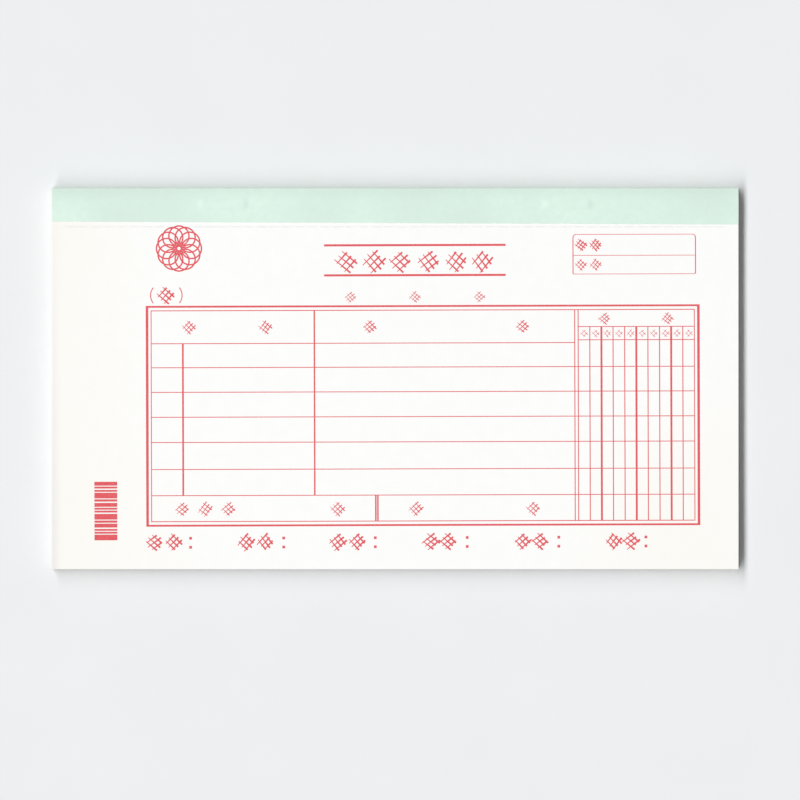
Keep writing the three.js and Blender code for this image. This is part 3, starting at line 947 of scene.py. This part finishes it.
# %% Where the marks stand
# Rows of marks by what they head: places along X, place along Y, size and weight
MARK_ROWS = {
    "title": ((-16.3, -6.9, 1.7, 11.2, 20.3, 29.0), 38.9, 7.2, 0.66),
    "number box, upper line": ((61.9, 66.8), 44.3, 3.9, 0.5),
    "number box, lower line": ((61.9, 66.8), 37.7, 3.9, 0.36),
    "brackets": ((-76.4,), 27.9, 5.6, 0.64),
    "date": ((-14.9, 6.6, 28.0), 27.1, 3.7, 0.3),
    "table": ((-68.7, -43.2, -8.5, 42.4), 17.2, 4.3, 0.42),
    "amount": ((69.7, 90.7), 19.7, 3.8, 0.36),
    "footer": ((-71.1, -63.4, -55.7, -19.3, 6.8, 45.8), -43.4, 4.6, 0.42),
    "digits": ((amount_lines[:-1] + amount_lines[1:]) / 2, 14.8, 2.7, 0.23),
    "signatures": ((-80.4, -49.8, -19.3, 11.7, 42.2, 72.5), -54.4, 5.6, 0.66),
    "signatures, second mark": ((-74.0, -43.4, -12.8, 17.3, 48.0, 78.3), -54.3, 5.6, 0.66),
}
COLONS = (-68.3, -37.3, -6.8, 23.8, 54.3, 83.3)
COLON_DOTS, DOT = (-53.0, -56.0), 0.92
SEEDS_PER_ROW = 100


def mark_strokes():
    """Hatches for all the headings, row by row, and a colon of two square dots after each signature."""
    strokes = []
    for row, (places, y, size, weight) in enumerate(MARK_ROWS.values()):
        for place, x in enumerate(places):
            strokes += hatch(x, y, size, weight, seed=SEEDS_PER_ROW * row + place)
    for x in COLONS:
        strokes += [straight(x - DOT / 2, y, x + DOT / 2, y, DOT) for y in COLON_DOTS]
    return strokes


print("marks:", sum(len(row[0]) for row in MARK_ROWS.values()))

# %% [markdown]
# ## Ornament and bars
#
# A pair of shallow brackets stands at the table's upper left corner. Above them is a rosette as receipts
# have it: equal circles whose centres stand evenly on a ring, so that they interlace. At the left foot is a
# block of bars, whose widths and gaps step through short cycles. All three are strokes like the rest.

# %% Brackets, rosette and bars
BRACKET_LEFT, BRACKET_RIGHT, BRACKET_LINE = -81.4, -70.9, 27.9
BRACKET_RADIUS, BRACKET_REACH, BRACKET_WIDTH, BRACKET_POINTS = 4.2, 38, 0.35, 9
ROSETTE_X, ROSETTE_Y = -71.9, 43.5
ROSETTE_CIRCLES, ROSETTE_CIRCLE, ROSETTE_RING, ROSETTE_POINTS = 12, 3.35, 4.15, 49
BARS_LEFT, BARS_RIGHT, BARS_TOP, BARS_FOOT = -100.3, -92.7, -34.1, -54.3
BAR_WIDTHS, BAR_GAPS = (1.3, 0.65, 0.65, 1.9, 0.75), (0.3, 0.45, 0.3)


def bracket_strokes():
    """Arc at each side, whose outermost point lies on the bracket's place."""
    turn = np.radians(np.linspace(-BRACKET_REACH, BRACKET_REACH, BRACKET_POINTS))
    y = BRACKET_LINE + BRACKET_RADIUS * np.sin(turn)
    return [stroke(outermost - way * BRACKET_RADIUS * (1 - np.cos(turn)), y, BRACKET_WIDTH, 0)
            for outermost, way in ((BRACKET_LEFT, -1), (BRACKET_RIGHT, 1))]


def rosette_strokes():
    """Circles whose centres stand evenly on a ring, each one level above the one before."""
    turn = np.linspace(0, 2 * np.pi, ROSETTE_POINTS)
    return [stroke(ROSETTE_X + ROSETTE_RING * np.cos(way) + ROSETTE_CIRCLE * np.cos(turn),
                   ROSETTE_Y + ROSETTE_RING * np.sin(way) + ROSETTE_CIRCLE * np.sin(turn), FINE, level)
            for level, way in enumerate(np.linspace(0, 2 * np.pi, ROSETTE_CIRCLES, endpoint=False))]


def bar_strokes():
    """Block of bars: widths step through one cycle and gaps through another, until the block is full."""
    strokes, y = [], BARS_TOP
    for width, gap in zip(cycle(BAR_WIDTHS), cycle(BAR_GAPS)):
        if y - width <= BARS_FOOT:
            return strokes
        strokes.append(straight(BARS_LEFT, y - width / 2, BARS_RIGHT, y - width / 2, width))
        y -= width + gap


print("bars:", len(bar_strokes()))

# %% [markdown]
# ## Print on the leaves
#
# The real form is printed on every leaf. Only the top one can be seen, and the next when that is turned or
# torn off, so these two carry it. On the back of the turned voucher it shows through the thin paper as a
# pale mirror image, so the same strokes are laid on its lower face in a hardly tinted colour.

# %% Print on both faces
form = (table_strokes() + heading_strokes() + mark_strokes() + bracket_strokes() + rosette_strokes()
        + bar_strokes())
print("strokes in the form:", len(form))
top_print = ink_piece("voucher_01_print", form, 1, "voucher_01", 1, INK)
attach(top_print, "voucher")
show_through = ink_piece("voucher_01_show_through", form, 1, "voucher_01", -1, SHOW_THROUGH)
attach(show_through, "voucher")
second_print = ink_piece("leaf_02_print", form, 2, "leaf_02", 1, INK)
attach(second_print, "pad")

# %% [markdown]
# ## The camera
#
# The photograph looks straight down, with no side of the block in view. An orthographic camera would give
# the same, but other views then lose their depth, so this is a long lens far above. Its frame is set from
# where the pad lies in the photograph, a square of 800 by 800 pixels.

# %% Camera
PHOTO_SIDE = 800
PAD_LEFT_PIXEL, PAD_RIGHT_PIXEL = 52.0, 738.5
PAD_TOP_PIXEL, PAD_FOOT_PIXEL = 188.5, 568.5
CAMERA_HEIGHT, FAR_CLIP, SENSOR = 2.4, 20.0, 36.0
pixel = (PAD_RIGHT - PAD_LEFT) / (PAD_RIGHT_PIXEL - PAD_LEFT_PIXEL)
camera = put("copy_camera", bpy.data.cameras.new("copy_camera"))
camera.data.sensor_width = SENSOR
camera.data.lens = SENSOR * (CAMERA_HEIGHT - STACK_TOP) / (PHOTO_SIDE * pixel)
camera.data.clip_end = FAR_CLIP
camera.location = ((PHOTO_SIDE - PAD_LEFT_PIXEL - PAD_RIGHT_PIXEL) / 2 * pixel,
                   (PAD_TOP_PIXEL + PAD_FOOT_PIXEL - PHOTO_SIDE) / 2 * pixel, CAMERA_HEIGHT)
bpy.context.scene.camera = camera
print("lens in mm:", round(camera.data.lens, 1), "pixel in mm:", round(pixel / MM, 4))

# %% [markdown]
# ## The light
#
# One long tube of light on the left runs parallel to the pad's short sides, as in a copying machine. Being
# narrow, it throws a crisp shadow to the right of the block, and being very long, it reaches round the head
# and the foot, where the shadows fade slowly. It stands far off, so that the left of the pad is no brighter
# than the right, and an even pale surround fills the rest. Together they light a level white sheet to just
# under full white, so colours come out as they are written.

# %% Lamp and surround
SKY_STRENGTH = 0.18
LAMP_POWER = 7680.0
LAMP_DISTANCE, LAMP_LEAN = 20.0, np.radians(26.5)
LAMP_WIDTH, LAMP_LENGTH = 5.4, 60.0
lamp = put("strip_lamp", bpy.data.lights.new("strip_lamp", "AREA"))
lamp.data.shape = "RECTANGLE"
lamp.data.size, lamp.data.size_y = LAMP_WIDTH, LAMP_LENGTH
lamp.data.energy = LAMP_POWER
lamp.rotation_euler = (0, -LAMP_LEAN, 0)
lamp.location = (-LAMP_DISTANCE * np.sin(LAMP_LEAN), 0, LAMP_DISTANCE * np.cos(LAMP_LEAN))
lamp.visible_camera = False
world = bpy.data.worlds.new("pale_surround")
bpy.context.scene.world = world
world.use_nodes = True
feed(world.node_tree, world.node_tree.nodes["Background"],
     {"Color": (1, 1, 1, 1), "Strength": SKY_STRENGTH})
print("lamp stands", round(-lamp.location.x, 1), "m to the left and", round(lamp.location.z, 1), "m up")

# %% [markdown]
# ## The floor
#
# The pad lies on a pale, matt table top. A flat colour would look like empty space, so it has a faint
# cloudiness. It lies a hair below the pad, so that the two share no face.

# %% Table top
CLOUDINESS = 40 * MM
FLOOR_HALF, FLOOR_DROP = 3.0, 0.02 * MM


def floor_finish():
    """Matt pale laminate: broad noise between two near whites."""
    material, tree, shader, place = new_material("pale_table_top")
    clouds = add(tree, "TexNoise", {"Vector": place, "Scale": 1 / CLOUDINESS, "Detail": 2.0})
    feed(tree, shader, {
        "Base Color": add(tree, "ValToRGB", {"Fac": clouds}, stops=((0.0, "#EAECED"), (1.0, "#EEF0F1"))),
        "Roughness": 0.9,
        "Specular IOR Level": 0.2})
    return material


corners = np.array([[-1, -1, 0], [1, -1, 0], [1, 1, 0], [-1, 1, 0]]) * FLOOR_HALF
floor = mesh_piece("table_top", corners - [0, 0, FLOOR_DROP], [np.arange(4)[None, :]], floor_finish())
bpy.context.scene.view_settings.view_transform = "Standard"
